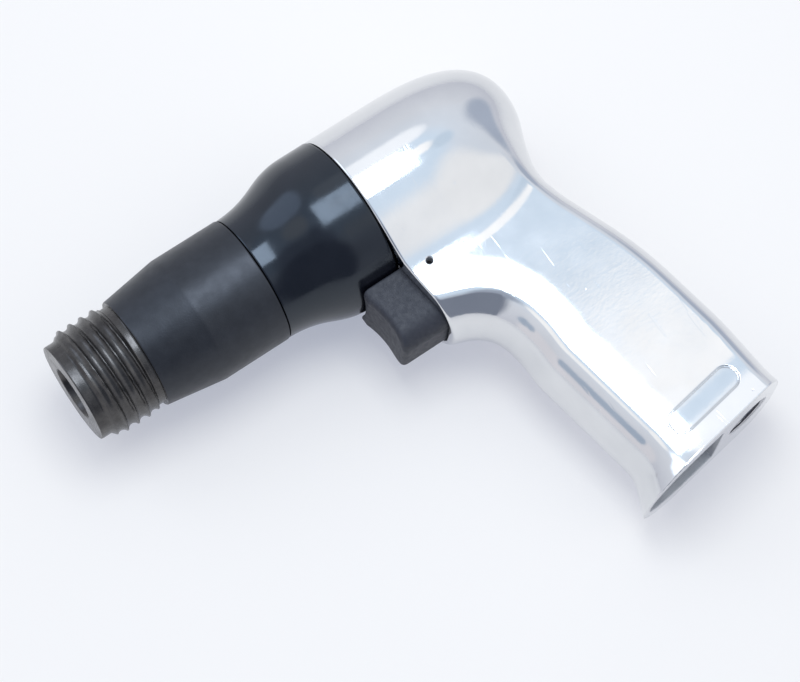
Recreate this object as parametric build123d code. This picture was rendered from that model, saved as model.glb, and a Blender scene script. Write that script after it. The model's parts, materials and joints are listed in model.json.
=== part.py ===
from build123d import *
import math
import os

# Pneumatic rivet hammer. Sizes in millimetres, angles in degrees.
# Tool axes: X runs forward along the barrel with 0 at the nose face, Y runs from the barrel towards the grip,
# Z runs to the tool's left side. Positions on the barrel are distances behind the nose face, and positions on
# the handle are distances behind its front face. A drop is a distance from the barrel's axis along Y.

# Shared clearances
joint_gap = 0.3          # open line at each end of the hood
slide_clearance = 0.3    # trigger in its pocket, each side
running_clearance = 0.05 # piston, cycle valve and throttle stem, radial
seat_gap = 0.05          # closed throttle seal to its seat

# Barrel outside
land_d = 29.2            # plain ring at the nose
land_length = 3.2
land_edge = 0.6
thread_d = 33.0          # thread for a spring retainer
thread_pitch = 3.5
thread_start = 5.0       # full thread begins
groove_r = 1.75          # round thread form, to take a spring wire
groove_depth = 1.05
groove_x_on_left = 8.05  # where one groove crosses the left side
neck_start = 17.3
neck_d = 30.4
shoulder = 20.1
shoulder_d = 32.8
cone_end = 37.5
barrel_d = 38.14
barrel_length = 58.25    # nose face to the hood
spigot_d = 30.0          # rear end, screwed into the handle
spigot_length = 48.75

# Barrel inside
shank_d = 10.24          # bore for a .401 inch tool shank
mouth_d = 15.7
mouth_depth = 9.0
shank_length = 36.0
piston_bore_d = 19.05
port_r = 2.5             # exhaust ports into the hood
port_count = 6
port_behind_joint = 13.75
air_hole_r = 1.1         # drillings that lead air to the front of the piston
air_hole_pcd = 24.6
air_hole_front = 42.0

# Piston
piston_length = 27.0
piston_nose_d = 12.0
piston_nose = 4.0
piston_park = 0.5        # from the valve case when parked

# Exhaust hood
hood_length = 32.75
hood_step = 0.17         # hood front below the barrel surface
hood_d = 48.6            # also the head of the handle
hood_swell = 24.4        # behind the hood front, where the full width begins
hood_ease_front = 13.0
hood_ease_rear = 10.5
hood_ease_rise = 0.4
hood_lip = 4.5           # length that sits on the spigot
hood_throat_d = 33.9
hood_wall = 3.3

# Seals between barrel, hood and handle
seal_depth = 1.2
front_seal_r = 15.9
front_seal_width = 1.8
rear_seal_r = 21.7
rear_seal_width = 1.5
seal_round = 0.4

# Handle head
head_straight = 19.4     # full width behind the joint
head_length = 55.7
dome_side = 22.5         # pulls the dome's curve along the side
dome_side_d = 47.4
dome_end_d = 39.0
case_bore_d = 29.2
live_air_d = 20.0
live_air_depth = 10.0
face_groove_r = 16.8     # ring groove that gathers the exhaust
face_groove_width = 3.8
face_groove_depth = 7.0

# Handle grip
lean = 9.1               # grip axis against square to the barrel
inlet_behind = 55.8
inlet_drop = 109.0       # barrel axis to the middle of the inlet mouth
grip_wall = 1.4          # outside the exhaust ways beside the trigger
grip_edge = 6.0
strap_edge = 8.0         # rounding of the front strap
strap_front = 33.4       # from the inlet axis
strap_back = 13.2
back_bend_drop = 55.0
back_bend_r = 30.0
web_behind = 50.8
web_drop = 28.8
web_r = 14.0
web_top_behind = 47.9
web_top_drop = 8.0
chin_drop = 44.9         # lower edge of the handle's front
front_lean = 6.5         # the front leans back below the hood
knuckle_behind = 13.2
knuckle_drop = 50.2
knuckle_r = 15.0
butt_swell = 1.8         # the butt is wider than the grip, each side
butt_height = 12.0
butt_front = 40.7
butt_bow = 14.0
butt_bow_flat = 3.0
butt_back = 11.6
butt_inset = 0.3         # top of the butt flange lies this far inside the grip

# Exhaust way through the grip
slot_back = 11.5
slot_front = 27.0
slot_half = 11.0
slot_corner = 4.0
slot_tip = 38.5
slot_bow = 15.0
slot_top_drop = 61.5
pocket_wall = 1.3
side_way_depth = 2.2
side_way_width = 11.6
side_way_lead = 2.0      # behind the handle's front face
side_way_top = 13.5
side_way_overlap = 4.5   # reach below the top of the slot
seal_cover = 2.2
pin_cover = 1.3
strap_cover = 7.0

# Air inlet
inlet_bore_d = 12.4      # quarter inch pipe thread
inlet_chamfer = 1.0
inlet_thread_length = 14.4
ring_width = 1.2
ring_d = 13.2
ring_inner_d = 10.4
ring_opening = 4.0
screen_thickness = 0.6
screen_hole_r = 0.55
screen_pitch = 1.7
passage_d = 10.0

# Trigger and its pin
trigger_width = 20.0
trigger_drop = 43.0
trigger_ahead = 12.6     # in front of the handle
trigger_brow = 2.0       # plain front above the finger hollow
trigger_hollow = 1.3
trigger_behind = 10.0
trigger_travel = 4.0
trigger_nose_r = 2.0
trigger_side_r = 3.2     # front corners
pocket_depth = 14.4
head_ledge_gap = 0.3
pin_d = 2.0
pin_hold = 2.2           # in the pocket's wall, each end
pin_behind = 6.5
pin_drop = 27.4
pin_slot_clearance = 0.15

# Throttle
throttle_drop = 35.0
throttle_bore_d = 13.0
throttle_bore_depth = 45.4
bushing_length = 15.0
bushing_waist_d = 10.8
bushing_ring_land = 3.0
bushing_ring_width = 1.6
waist_start = 6.2
waist_length = 5.0
gallery_d = 16.0
bushing_port_r = 1.6
stem_d = 4.0
guide_length = 6.0
stem_ring_start = 2.2
stem_ring_width = 1.4
stem_ring_d = 6.8
seat_d = 8.0
stem_play = 0.2
seal_d = 10.4
seal_inner_d = 5.2
seal_thickness = 1.5
poppet_length = 3.0
tail_length = 2.0
spring_wire = 0.8
spring_mean_d = 7.8
spring_turns = 5.0
cup_thickness = 1.5
cup_boss_d = 5.6
cup_boss = 3.0
supply_d = 5.0

# Valve group
case_d = 29.0
case_length = 13.0
case_plate = 3.0
case_hole_d = 10.0
chamber_d = 21.0
hub_d = 10.9
hub_length = 9.0
hub_hole_d = 5.0
valve_length = 6.0
cap_length = 6.0
gasket_thickness = 1.0
gasket_inner_d = 22.0
dowel_d = 2.0
dowel_pcd = 25.0
dowel_depth = 6.0

# Positions and sizes that follow from the ones above
x_joint = -barrel_length
x_hood_front = x_joint - joint_gap
x_hood_rear = x_hood_front - hood_length
x_handle = x_hood_rear - joint_gap
x_spigot = x_joint - spigot_length
x_case = x_spigot - case_length
x_cap = x_case - cap_length
x_pocket = x_handle - pocket_depth
x_seat = x_pocket - bushing_length
x_poppet = x_seat - seat_gap - seal_thickness
x_spring = x_poppet - poppet_length
x_bore_end = x_handle - throttle_bore_depth
x_cup = x_bore_end + cup_thickness
x_floor = x_cap - gasket_thickness
x_live_air = x_floor - live_air_depth
x_inlet = x_handle - inlet_behind
x_knuckle = x_handle - knuckle_behind
x_web = x_handle - web_behind
x_pin = x_handle - pin_behind
x_trigger = x_handle + trigger_ahead
x_trigger_rear = x_handle - trigger_behind
pocket_half = trigger_width / 2 + slide_clearance
pin_length = 2 * (pocket_half + pin_hold)
grip_half = pocket_half + pocket_wall + side_way_depth + grip_wall
butt_half = grip_half + butt_swell
bore_r = piston_bore_d / 2
head_r = hood_d / 2

# Grip axes: U runs from the inlet axis towards the front strap, W is the tool's Z, S runs up the grip.
lean_sin = math.sin(math.radians(lean))
lean_cos = math.cos(math.radians(lean))
grip_plane = Plane(
    origin=(x_inlet, inlet_drop, 0),
    x_dir=(lean_cos, lean_sin, 0),
    z_dir=(lean_sin, -lean_cos, 0),
)


def grip_point(u, s):
    return (
        x_inlet + u * lean_cos + s * lean_sin,
        inlet_drop + u * lean_sin - s * lean_cos,
    )


def grip_height(u, drop):
    return (inlet_drop + u * lean_sin - drop) / lean_cos


def rod(x0, x1, d, y=0.0, z=0.0):
    return Pos((x0 + x1) / 2, y, z) * Rot(Y=90) * Cylinder(d / 2, abs(x1 - x0))


def tube(x0, x1, d_out, d_in, y=0.0):
    return rod(x0, x1, d_out, y) - rod(x0, x1, d_in, y)


def turned(points):
    return revolve(make_face(Polyline(*points, close=True)), axis=Axis.X)


def seal_ring(x0, x1, r_in, r_out, y=0.0):
    middle = Pos((x0 + x1) / 2, (r_in + r_out) / 2)
    section = middle * RectangleRounded(abs(x1 - x0), r_out - r_in, seal_round)
    return Pos(0, y, 0) * revolve(section, axis=Axis.X)


def around(count, radius, start=0.0):
    angles = [math.radians(start + 360 * i / count) for i in range(count)]
    return [(radius * math.cos(angle), radius * math.sin(angle)) for angle in angles]


def nearest_corner(face, point):
    return face.vertices().sort_by_distance((point[0], point[1], 0))[0]


def thread_cutter():
    centre_r = thread_d / 2 - groove_depth + groove_r
    height = neck_start + thread_pitch
    probe = Helix(thread_pitch, height, centre_r, center=(0, 0, 0), direction=(1, 0, 0))
    begin = probe @ 0
    phase = math.degrees(math.atan2(begin.Z, begin.Y))
    ahead = thread_pitch * (90 - phase) / 360
    turns_back = math.ceil((neck_start + 1 - groove_x_on_left) / thread_pitch) + 1
    x_start = -groove_x_on_left - ahead - turns_back * thread_pitch
    path = Helix(thread_pitch, height, centre_r, center=(x_start, 0, 0), direction=(1, 0, 0))
    begin = path @ 0
    frame = Plane(origin=begin, x_dir=(0, begin.Y, begin.Z), z_dir=path % 0)
    outer = thread_d / 2 + 0.3 - centre_r
    section = Circle(groove_r) & Pos(outer - groove_r, 0) * Rectangle(2 * groove_r, 4 * groove_r)
    return sweep(frame * section, path=path, is_frenet=True)


def make_barrel():
    blank = turned([
        (0, mouth_d / 2),
        (0, land_d / 2 - land_edge),
        (-land_edge, land_d / 2),
        (-land_length, land_d / 2),
        (-thread_start, thread_d / 2),
        (-neck_start, thread_d / 2),
        (-neck_start, neck_d / 2),
        (-shoulder, neck_d / 2),
        (-shoulder, shoulder_d / 2),
        (-cone_end, barrel_d / 2),
        (x_joint, barrel_d / 2),
        (x_joint, spigot_d / 2),
        (x_spigot, spigot_d / 2),
        (x_spigot, bore_r),
        (-shank_length, bore_r),
        (-shank_length, shank_d / 2),
        (-mouth_depth, shank_d / 2),
    ])
    blank -= thread_cutter()
    blank -= tube(x_joint + seal_depth, x_joint - 1, 2 * (front_seal_r + front_seal_width), 2 * front_seal_r)
    port_reach = spigot_d / 2 + 1
    for y, z in around(port_count, 1.0):
        axis = Plane(origin=(x_joint - port_behind_joint, 0, 0), z_dir=(0, y, z))
        blank -= axis * Pos(0, 0, port_reach / 2) * Cylinder(port_r, port_reach)
    for y, z in around(2, air_hole_pcd / 2):
        blank -= rod(-air_hole_front, x_spigot, 2 * air_hole_r, y, z)
        axis = Plane(origin=(-air_hole_front - air_hole_r, 0, 0), z_dir=(0, y, z))
        blank -= axis * Pos(0, 0, air_hole_pcd / 4) * Cylinder(air_hole_r, air_hole_pcd / 2)
    for y, z in around(2, dowel_pcd / 2, 90):
        blank -= rod(x_spigot, x_spigot + dowel_depth, dowel_d, y, z)
    return blank


def make_hood():
    front_r = barrel_d / 2 - hood_step
    swell = Bezier(
        (x_hood_front, front_r),
        (x_hood_front - hood_ease_front, front_r + hood_ease_rise),
        (x_hood_front - hood_swell + hood_ease_rear, head_r),
        (x_hood_front - hood_swell, head_r),
    )
    bore = spigot_d / 2 + running_clearance
    inner_r = head_r - hood_wall
    rest = Polyline(
        (x_hood_front - hood_swell, head_r),
        (x_hood_rear, head_r),
        (x_hood_rear, inner_r),
        (x_hood_front - hood_swell + hood_wall, inner_r),
        (x_hood_front - hood_lip - hood_wall, hood_throat_d / 2),
        (x_hood_front - hood_lip, bore),
        (x_hood_front, bore),
        (x_hood_front, front_r),
    )
    return revolve(make_face(swell + rest), axis=Axis.X)


def make_front_seal():
    return seal_ring(x_joint + seal_depth, x_hood_front, front_seal_r, front_seal_r + front_seal_width)


def make_rear_seal():
    return seal_ring(x_hood_rear, x_handle - seal_depth, rear_seal_r, rear_seal_r + rear_seal_width)


def make_head():
    x_round = x_handle - head_straight
    x_end = x_handle - head_length
    dome = Bezier(
        (x_round, head_r),
        (x_round - dome_side, dome_side_d / 2),
        (x_end, dome_end_d / 2),
        (x_end, 0),
    )
    rest = Polyline((x_end, 0), (x_handle, 0), (x_handle, head_r), (x_round, head_r))
    return revolve(make_face(dome + rest), axis=Axis.X)


def on_strap(edge):
    centre = edge.center()
    return grip_plane.to_local_coords(centre).X > strap_front / 2 and centre.Y > web_drop


def on_back(edge):
    place = grip_plane.to_local_coords(edge.center())
    return place.X < 0 < place.Z


def make_slab():
    overrun = 8.0
    chin_slope = (knuckle_drop - chin_drop) / knuckle_behind
    knuckle = (x_knuckle, knuckle_drop)
    back_bend = grip_point(-strap_back, grip_height(-strap_back, back_bend_drop))
    web = (x_web, web_drop)
    outline = make_face(Polyline(
        (x_handle + overrun, web_top_drop),
        (x_handle + overrun, chin_drop - overrun * chin_slope),
        knuckle,
        grip_point(strap_front, -overrun),
        grip_point(-strap_back, -overrun),
        back_bend,
        web,
        (x_handle - web_top_behind, web_top_drop),
        close=True,
    ))
    for corner, radius in ((knuckle, knuckle_r), (back_bend, back_bend_r), (web, web_r)):
        outline = fillet(nearest_corner(outline, corner), radius)
    slab = extrude(outline, amount=grip_half, both=True)
    for on_side, radius in ((on_strap, strap_edge), (on_back, grip_edge)):
        flat_edges = slab.faces().sort_by(Axis.Z)[0].edges() + slab.faces().sort_by(Axis.Z)[-1].edges()
        slab = fillet(flat_edges.filter_by(on_side), radius)
    far = 200.0
    for tilt in (0, front_lean):
        slab &= Pos(x_handle, head_r, 0) * Rot(0, 0, tilt) * Pos(-far, 0, 0) * Box(2 * far, 2 * far, 2 * far)
    slab &= grip_plane * Pos(0, 0, butt_height / 2 + far) * Box(2 * far, 2 * far, 2 * far)
    return slab


def butt_outline(back, front, half, bow, bow_half):
    front_centre = front - bow
    back_centre = grip_edge - back
    flat = half - bow_half
    back_flat = half - grip_edge
    edges = Line((front, -flat), (front, flat))
    edges += EllipticalCenterArc((front_centre, flat), bow, bow_half, start_angle=0, arc_size=90)
    edges += Line((front_centre, half), (back_centre, half))
    edges += EllipticalCenterArc((back_centre, back_flat), grip_edge, grip_edge, start_angle=90, arc_size=90)
    edges += Line((-back, back_flat), (-back, -back_flat))
    corner = (back_centre, -back_flat)
    edges += EllipticalCenterArc(corner, grip_edge, grip_edge, start_angle=180, arc_size=90)
    edges += Line((back_centre, -half), (front_centre, -half))
    edges += EllipticalCenterArc((front_centre, -flat), bow, bow_half, start_angle=270, arc_size=90)
    return make_face(edges)


def make_butt():
    low = butt_outline(butt_back, butt_front, butt_half, butt_bow, butt_half - butt_bow_flat / 2)
    high = butt_outline(
        strap_back - butt_inset,
        strap_front - butt_inset,
        grip_half - butt_inset,
        strap_edge,
        strap_edge,
    )
    return loft([grip_plane * low, grip_plane * Pos(0, 0, butt_height) * high])


def exhaust_way():
    top = grip_height(0, slot_top_drop)
    middle = (slot_back + slot_front) / 2
    shaft_outline = Pos(middle, 0) * RectangleRounded(slot_front - slot_back, 2 * slot_half, slot_corner)
    shaft = extrude(grip_plane * Pos(0, 0, -1) * shaft_outline, amount=top + 1)
    bow_centre = slot_tip - slot_bow
    bow = EllipticalCenterArc((bow_centre, 0), slot_bow, slot_half, start_angle=-90, arc_size=180)
    sides = Polyline(
        (bow_centre, slot_half),
        (slot_back, slot_half),
        (slot_back, -slot_half),
        (bow_centre, -slot_half),
    )
    mouth = extrude(grip_plane * Pos(0, 0, -1) * make_face(bow + sides), amount=butt_height + 1)
    run = (slot_tip - slot_front) / butt_height
    slope = make_face(Polyline(
        grip_point(slot_back - 1, -2),
        grip_point(slot_tip + 2 * run, -2),
        grip_point(slot_front, butt_height),
        grip_point(slot_back - 1, butt_height),
        close=True,
    ))
    mouth &= extrude(slope, amount=butt_half, both=True)
    x_lead = x_handle - side_way_lead
    x_front = x_pin - pin_d / 2 - pin_cover
    x_back = x_front - side_way_width
    x_strap = x_knuckle - strap_cover
    bottom = slot_top_drop + side_way_overlap
    side_outline = make_face(Polyline(
        (x_lead, side_way_top),
        (x_lead, rear_seal_r - seal_cover),
        (x_front, rear_seal_r + seal_cover),
        (x_front, trigger_drop),
        (x_knuckle, knuckle_drop - strap_cover),
        (x_strap, knuckle_drop),
        (x_strap, bottom),
        grip_point(slot_back, grip_height(slot_back, bottom)),
        (x_back, trigger_drop),
        (x_back, side_way_top),
        close=True,
    ))
    inner = pocket_half + pocket_wall
    left_way = extrude(Pos(0, 0, inner) * side_outline, amount=side_way_depth)
    right_way = extrude(Pos(0, 0, -inner - side_way_depth) * side_outline, amount=side_way_depth)
    return shaft + mouth + left_way + right_way


def grip_bore(s0, s1, d):
    return grip_plane * Pos(0, 0, (s0 + s1) / 2) * Cylinder(d / 2, s1 - s0)


def inlet_way():
    s_ring = inlet_thread_length + ring_width
    s_shelf = s_ring + screen_thickness
    mouth = grip_plane * Pos(0, 0, inlet_chamfer / 2) * Rot(X=180) * Cone(
        inlet_bore_d / 2, inlet_bore_d / 2 + inlet_chamfer, inlet_chamfer
    )
    way = mouth + grip_bore(-1, s_shelf, inlet_bore_d)
    way += grip_bore(inlet_thread_length, s_ring, ring_d)
    return way + grip_bore(s_shelf - 1, grip_height(0, throttle_drop + 5), passage_d)


def make_handle():
    body = make_head() + make_slab() + make_butt()
    body -= rod(x_handle + 1, x_spigot - joint_gap, spigot_d + 2 * running_clearance)
    body -= rod(x_spigot, x_floor, case_bore_d)
    body -= rod(x_floor + 1, x_live_air, live_air_d)
    for r, width, depth in (
        (face_groove_r, face_groove_width, face_groove_depth),
        (rear_seal_r, rear_seal_width, seal_depth),
    ):
        body -= tube(x_handle + 1, x_handle - depth, 2 * (r + width), 2 * r)
    pocket_bottom = trigger_drop + slide_clearance
    pocket_mid = pocket_bottom / 2
    pocket = Pos(x_pocket + 20, pocket_mid, 0) * Box(40, pocket_bottom, 2 * pocket_half)
    body -= pocket - rod(x_pocket - 1, x_pocket + 41, 2 * (head_r + head_ledge_gap))
    body -= rod(x_pocket + 1, x_bore_end, throttle_bore_d, throttle_drop)
    x_waist = x_pocket - waist_start
    body -= rod(x_waist, x_waist - waist_length, gallery_d, throttle_drop)
    x_gallery = x_waist - waist_length / 2 - 1
    supply_start = Vector(x_gallery, throttle_drop - 5, 0)
    supply_end = Vector(x_live_air, live_air_d / 2 - 2, 0)
    supply = Plane(origin=(supply_start + supply_end) * 0.5, z_dir=supply_end - supply_start)
    body -= supply * Cylinder(supply_d / 2, (supply_end - supply_start).length)
    body -= exhaust_way()
    body -= inlet_way()
    body -= Pos(x_pin, pin_drop, 0) * Cylinder(pin_d / 2, 60)
    return body


def make_trigger():
    top = head_r - 3
    brow = head_r + trigger_brow
    hollow = ThreePointArc(
        (x_trigger, brow),
        (x_trigger - trigger_hollow, (brow + trigger_drop) / 2),
        (x_trigger, trigger_drop),
    )
    rest = Polyline(
        (x_trigger, trigger_drop),
        (x_trigger_rear, trigger_drop),
        (x_trigger_rear, top),
        (x_trigger, top),
        (x_trigger, brow),
    )
    blank = extrude(make_face(hollow + rest), amount=trigger_width / 2, both=True)
    toe = blank.edges().filter_by(Axis.Z).sort_by_distance((x_trigger, trigger_drop, 0))[0]
    blank = fillet(toe, trigger_nose_r)
    length = x_trigger - x_trigger_rear
    plan = Pos(x_trigger_rear, 0) * RectangleRounded(2 * length, trigger_width, trigger_side_r)
    blank &= extrude(Plane.XZ * plan, amount=2 * trigger_drop, both=True)
    clear_r = head_r + 2 * slide_clearance
    blank -= rod(x_trigger + 10, x_trigger_rear - 10, 2 * clear_r)
    slot_back_x = x_pin - pin_slot_clearance
    slot_front_x = x_pin + trigger_travel + pin_slot_clearance
    slot_h = pin_d + 2 * pin_slot_clearance
    slot_middle = (slot_back_x + slot_front_x) / 2
    slot = Pos(slot_middle, pin_drop) * SlotCenterToCenter(slot_front_x - slot_back_x, slot_h)
    return blank - extrude(slot, amount=trigger_width, both=True)


def make_pin():
    return Pos(x_pin, pin_drop, 0) * Cylinder(pin_d / 2, pin_length)


def make_piston():
    x_rear = x_spigot + piston_park
    x_front = x_rear + piston_length
    r = bore_r - running_clearance
    return turned([
        (x_rear, 0),
        (x_front, 0),
        (x_front, piston_nose_d / 2 - 0.5),
        (x_front - 0.5, piston_nose_d / 2),
        (x_front - piston_nose, piston_nose_d / 2),
        (x_front - piston_nose - 1, r),
        (x_rear + 1, r),
        (x_rear, r - 1),
    ])


def make_valve_case():
    case = rod(x_spigot, x_case, case_d)
    case -= rod(x_spigot + 1, x_case, case_hole_d)
    case -= rod(x_spigot - case_plate, x_case, chamber_d)
    for y, z in around(2, air_hole_pcd / 2):
        case -= rod(x_spigot, x_case, 2 * air_hole_r, y, z)
    for y, z in around(2, dowel_pcd / 2, 90):
        case -= rod(x_spigot, x_case, dowel_d, y, z)
    return case


def make_cycle_valve():
    x_front = x_spigot - case_plate - 2 * running_clearance
    outer_d = chamber_d - 2 * running_clearance
    inner_d = hub_d + 2 * running_clearance
    return tube(x_front, x_front - valve_length, outer_d, inner_d)


def make_valve_cap():
    cap = rod(x_case, x_cap, case_d) + rod(x_case + hub_length, x_case, hub_d)
    cap -= rod(x_case + hub_length, x_cap, hub_hole_d)
    for y, z in around(2, dowel_pcd / 2, 90):
        cap -= rod(x_case, x_case - dowel_depth / 2, dowel_d, y, z)
    return cap


def make_dowels():
    return [
        rod(x_spigot + dowel_depth - 0.5, x_case - dowel_depth / 2 + 0.5, dowel_d, y, z)
        for y, z in around(2, dowel_pcd / 2, 90)
    ]


def make_gasket():
    return tube(x_cap, x_cap - gasket_thickness, case_d, gasket_inner_d)


def make_bushing():
    y = throttle_drop
    bush = rod(x_pocket, x_seat, throttle_bore_d, y)
    x_waist = x_pocket - waist_start
    bush -= tube(x_waist, x_waist - waist_length, throttle_bore_d, bushing_waist_d, y)
    for x in bushing_ring_starts():
        bush -= tube(x, x - bushing_ring_width, throttle_bore_d, bushing_waist_d, y)
    bush -= rod(x_pocket, x_seat, stem_d + 2 * running_clearance, y)
    bush -= rod(x_pocket - stem_ring_start, x_pocket - stem_ring_start - stem_ring_width, stem_ring_d, y)
    bush -= rod(x_pocket - guide_length, x_seat, seat_d, y)
    x_port = x_waist - waist_length / 2
    bush -= Pos(x_port, y, 0) * Cylinder(bushing_port_r, throttle_bore_d)
    bush -= Pos(x_port, y, 0) * Rot(X=90) * Cylinder(bushing_port_r, throttle_bore_d)
    return bush


def bushing_ring_starts():
    return (x_pocket - bushing_ring_land, x_seat + bushing_ring_land - 1)


def make_bushing_rings():
    return [
        seal_ring(x, x - bushing_ring_width, bushing_waist_d / 2, throttle_bore_d / 2, throttle_drop)
        for x in bushing_ring_starts()
    ]


def make_stem_ring():
    x = x_pocket - stem_ring_start
    return seal_ring(x, x - stem_ring_width, stem_d / 2 + running_clearance, stem_ring_d / 2, throttle_drop)


def make_throttle_valve():
    y = throttle_drop
    stem = rod(x_trigger_rear - stem_play, x_poppet, stem_d, y)
    neck = rod(x_poppet + seal_thickness, x_poppet, seal_inner_d, y)
    head = rod(x_poppet, x_spring, seal_d, y)
    tail = rod(x_spring, x_spring - tail_length, seal_inner_d, y)
    return stem + neck + head + tail


def make_throttle_seal():
    return tube(x_poppet + seal_thickness, x_poppet, seal_d, seal_inner_d, throttle_drop)


def make_spring():
    inset = spring_wire / 2
    height = x_spring - x_cup - 2 * inset
    path = Helix(
        height / spring_turns,
        height,
        spring_mean_d / 2,
        center=(x_cup + inset, throttle_drop, 0),
        direction=(1, 0, 0),
    )
    section = Plane(origin=path @ 0, z_dir=path % 0) * Circle(spring_wire / 2)
    return sweep(section, path=path, is_frenet=True)


def make_cup():
    y = throttle_drop
    disc = rod(x_bore_end, x_cup, throttle_bore_d - 4 * running_clearance, y)
    return disc + rod(x_cup, x_cup + cup_boss, cup_boss_d, y)


def make_screen():
    s0 = inlet_thread_length + ring_width
    reach = passage_d / 2 - screen_hole_r
    row_gap = screen_pitch * math.sqrt(3) / 2
    rows = int(reach / row_gap)
    columns = int(reach / screen_pitch) + 1
    spots = [
        (screen_pitch * (column + 0.5 * (row % 2)), row_gap * row)
        for row in range(-rows, rows + 1)
        for column in range(-columns, columns + 1)
    ]
    holes = [
        grip_plane * Pos(u, w, s0 + screen_thickness / 2) * Cylinder(screen_hole_r, 2 * screen_thickness)
        for u, w in spots
        if math.hypot(u, w) < reach
    ]
    return grip_bore(s0, s0 + screen_thickness, inlet_bore_d) - holes


def make_screen_ring():
    s0 = inlet_thread_length
    s1 = s0 + ring_width
    ring = grip_bore(s0, s1, ring_d) - grip_bore(s0, s1, ring_inner_d)
    return ring - grip_plane * Pos(-ring_d / 2, 0, (s0 + s1) / 2) * Box(ring_d, ring_opening, 2 * ring_width)


nodes = {
    "handle": make_handle(),
    "exhaust_hood": make_hood(),
    "barrel": make_barrel(),
    "trigger": make_trigger(),
    "trigger_pin": make_pin(),
    "hood_front_oring": make_front_seal(),
    "hood_rear_oring": make_rear_seal(),
    "piston": make_piston(),
    "valve_case": make_valve_case(),
    "cycle_valve": make_cycle_valve(),
    "valve_cap": make_valve_cap(),
    "valve_dowels": Compound(children=make_dowels()),
    "head_gasket": make_gasket(),
    "throttle_bushing": make_bushing(),
    "throttle_bushing_orings": Compound(children=make_bushing_rings()),
    "throttle_valve": make_throttle_valve(),
    "throttle_seal": make_throttle_seal(),
    "throttle_stem_oring": make_stem_ring(),
    "throttle_spring": make_spring(),
    "spring_cup": make_cup(),
    "inlet_screen": make_screen(),
    "screen_ring": make_screen_ring(),
}

# The tool lies on its right side: rolled about the barrel until the head and the butt both touch the floor.
rest_y = grip_point(butt_front - butt_bow, 0)[1]
roll = math.degrees(math.asin(head_r / math.hypot(rest_y, butt_half)) - math.atan2(butt_half, rest_y))
rolled = {name: Rot(X=-roll) * shape for name, shape in nodes.items()}
boxes = [shape.bounding_box() for shape in rolled.values()]
middle_x = (min(box.min.X for box in boxes) + max(box.max.X for box in boxes)) / 2
middle_y = (min(box.min.Y for box in boxes) + max(box.max.Y for box in boxes)) / 2
floor = Pos(-middle_x, -middle_y, -min(box.min.Z for box in boxes))

os.makedirs("parts", exist_ok=True)
for name, shape in rolled.items():
    export_step(floor * shape, "parts/" + name + ".step")
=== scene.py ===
import json
import math

import bpy
import numpy as np
from mathutils import Matrix, Vector


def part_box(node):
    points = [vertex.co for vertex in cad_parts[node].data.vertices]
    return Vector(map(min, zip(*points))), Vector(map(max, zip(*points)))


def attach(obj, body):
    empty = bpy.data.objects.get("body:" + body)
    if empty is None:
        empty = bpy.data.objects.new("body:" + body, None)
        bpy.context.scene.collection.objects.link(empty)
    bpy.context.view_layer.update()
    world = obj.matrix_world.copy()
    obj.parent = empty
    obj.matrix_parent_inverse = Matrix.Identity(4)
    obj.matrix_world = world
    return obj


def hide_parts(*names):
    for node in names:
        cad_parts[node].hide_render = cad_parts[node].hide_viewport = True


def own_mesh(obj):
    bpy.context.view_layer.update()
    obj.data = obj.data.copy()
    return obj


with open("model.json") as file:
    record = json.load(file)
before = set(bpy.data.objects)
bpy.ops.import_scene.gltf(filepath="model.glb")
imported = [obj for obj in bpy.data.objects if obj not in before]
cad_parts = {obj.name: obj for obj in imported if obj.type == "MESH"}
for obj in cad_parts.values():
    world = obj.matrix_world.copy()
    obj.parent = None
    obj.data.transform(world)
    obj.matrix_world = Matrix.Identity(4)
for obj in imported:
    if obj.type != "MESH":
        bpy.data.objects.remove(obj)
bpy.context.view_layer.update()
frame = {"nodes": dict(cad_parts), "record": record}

# Tool frame, in millimetres: X runs forward along the barrel with 0 at the nose face, Y runs from the barrel
# towards the grip and Z to the tool's left side, which is up as the tool lies.
mounts = {mount["name"]: mount for mount in frame["record"]["mounts"]}
bore_at = mounts["rivet_set_bore"]["pos_m"]
inlet_out = mounts["air_inlet"]["axis"]
NOSE = np.array((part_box("barrel")[1].x, bore_at[1], bore_at[2]))
ROLL = math.atan2(-inlet_out[2], inlet_out[1])
TURN = np.array(Matrix.Rotation(-ROLL, 3, "X"))
MM = 0.001

# Handle
HANDLE_X = -91.6           # front face
HEAD_R = 24.3
DOME_X = -110.16           # where the dome leaves the straight head
DOME_LENGTH = 38.13
DOME_POWER = 2.3
DOME_LIFT = 3.35           # the dome's tip bends up, away from the grip
DOME_LIFT_RUN = 34.0
HEAD_BLEND = (7.5, 11.0)   # fillet between head and grip, at the barrel's axis and below
HEAD_BLEND_Y = (2.0, 15.0)
INLET = (-147.4, 109.0)    # middle of the inlet mouth
LEAN = math.radians(9.1)   # grip axis against square to the barrel
FRONT_LEAN = math.radians(6.5)  # the front leans back below the hood
CHIN_Y = 45.07             # lower edge of the front face
KNUCKLE = (-104.85, 50.15)
KNUCKLE_REACH = 6.62       # how far the bend from chin to strap is spread
KNUCKLE_EASE = 0.43        # how much further for each millimetre inside the strap
STRAP_FRONT = 34.56        # from the inlet axis
STRAP_BACK = 13.21
STRAP_HOLLOW = 1.25        # the strap stands back this far under the knuckle
STRAP_HOLLOW_S = (44.0, 56.0)
FLARE_TOP = 9.45           # where the butt starts to flare
FLARE_TIP = 40.69
FLARE_REACH = 2.0
FLARE_EASE = 0.22
BACK_TAPER = 2.23          # the back comes in this far towards the butt
BACK_TAPER_S = 24.0
BACK_BEND_S = 52.85
WEB = (-142.38, 28.81)
WEB_TOP = (-137.66, 5.91)
BACK_BEND_REACH = 2.15
WEB_REACH = 0.81
SLAB_TOP = 2.0
GRIP_HALF = 15.2
BUTT_HALF = 17.0
BUTT_SPREAD = 14.0
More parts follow.
